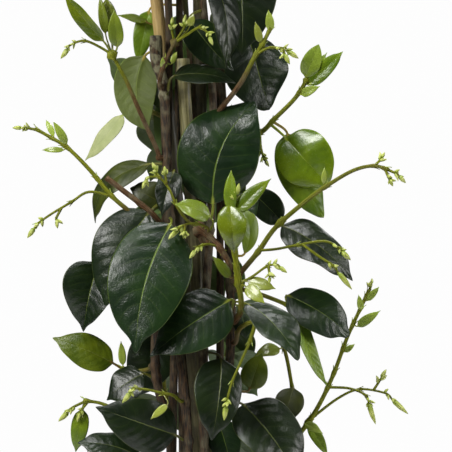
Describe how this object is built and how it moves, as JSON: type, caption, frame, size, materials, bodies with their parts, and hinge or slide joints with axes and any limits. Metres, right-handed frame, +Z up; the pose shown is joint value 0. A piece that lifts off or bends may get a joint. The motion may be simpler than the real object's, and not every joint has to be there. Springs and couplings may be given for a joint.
{
  "type": "potted star jasmine",
  "caption": "Climbing star jasmine with glossy oval leaves and budding green side shoots, held up by bamboo canes in a round tapered pot of soil.",
  "frame": {"origin": "centre of the pot's flat base, where it rests", "axes": "+Z up along the plant, -Y towards the plant's front, +X to its right as seen from the front"},
  "size_m": [0.1998, 0.1741, 0.7066],
  "materials": {
    "pot_plastic": "satin, lightly scuffed",
    "compost": "moist crumbly compost",
    "bamboo": "dry bamboo with a dull gloss",
    "bark": "fine grey-brown bark",
    "leaf_dark": "glossy grown leaf",
    "leaf_mid": "satin leaf",
    "leaf_young": "soft young leaf, stalk and bud"
  },
  "bodies": {
    "root": {"cane_back": "bamboo", "cane_front": "bamboo", "cane_left": "bamboo", "leaf_across": "leaf_dark", "leaf_arched": "leaf_dark", "leaf_behind_left": "leaf_dark", "leaf_bottom_left": "leaf_dark", "leaf_bright_left": "leaf_young", "leaf_centre": "leaf_dark", "leaf_diagonal": "leaf_dark", "leaf_front_left": "leaf_dark", "leaf_green_top": "leaf_mid", "leaf_low_centre": "leaf_dark", "leaf_low_left": "leaf_dark", "leaf_low_right": "leaf_dark", "leaf_low_shade": "leaf_dark", "leaf_olive": "leaf_mid", "leaf_shiny": "leaf_dark", "leaf_small_right": "leaf_dark", "leaf_top_centre": "leaf_dark", "leaf_top_left": "leaf_dark", "leaf_underside": "leaf_mid", "leaf_upper_right": "leaf_dark", "pot": "pot_plastic", "shoot_back_left": "leaf_dark", "shoot_back_low": "leaf_dark", "shoot_back_mid": "leaf_dark", "shoot_centre": "leaf_young", "shoot_crown_back": "leaf_dark", "shoot_crown_front": "leaf_dark", "shoot_crown_left": "leaf_dark", "shoot_crown_right": "leaf_dark", "shoot_crown_tip": "leaf_dark", "shoot_far_right": "leaf_young", "shoot_foot_front": "leaf_dark", "shoot_foot_left": "leaf_dark", "shoot_foot_right": "leaf_dark", "shoot_left": "leaf_young", "shoot_long_right": "leaf_dark", "shoot_low_left": "leaf_mid", "shoot_mid_left": "leaf_dark", "shoot_pale_low": "leaf_young", "shoot_right_down": "leaf_dark", "shoot_right_fork": "leaf_mid", "shoot_right_low": "leaf_dark", "shoot_top_left": "leaf_young", "shoot_upper_right": "leaf_young", "shoot_young_top": "leaf_young", "soil": "compost", "stalk_front": "leaf_young", "stalk_left": "leaf_young", "stalk_low_left": "leaf_young", "stem_back_left": "bark", "stem_back_right": "bark", "stem_core": "bark", "stem_front": "bark", "stem_front_left": "bark", "stem_left": "bark", "stem_right": "bark", "twig_cut": "bark"}
  },
  "joints": []
}
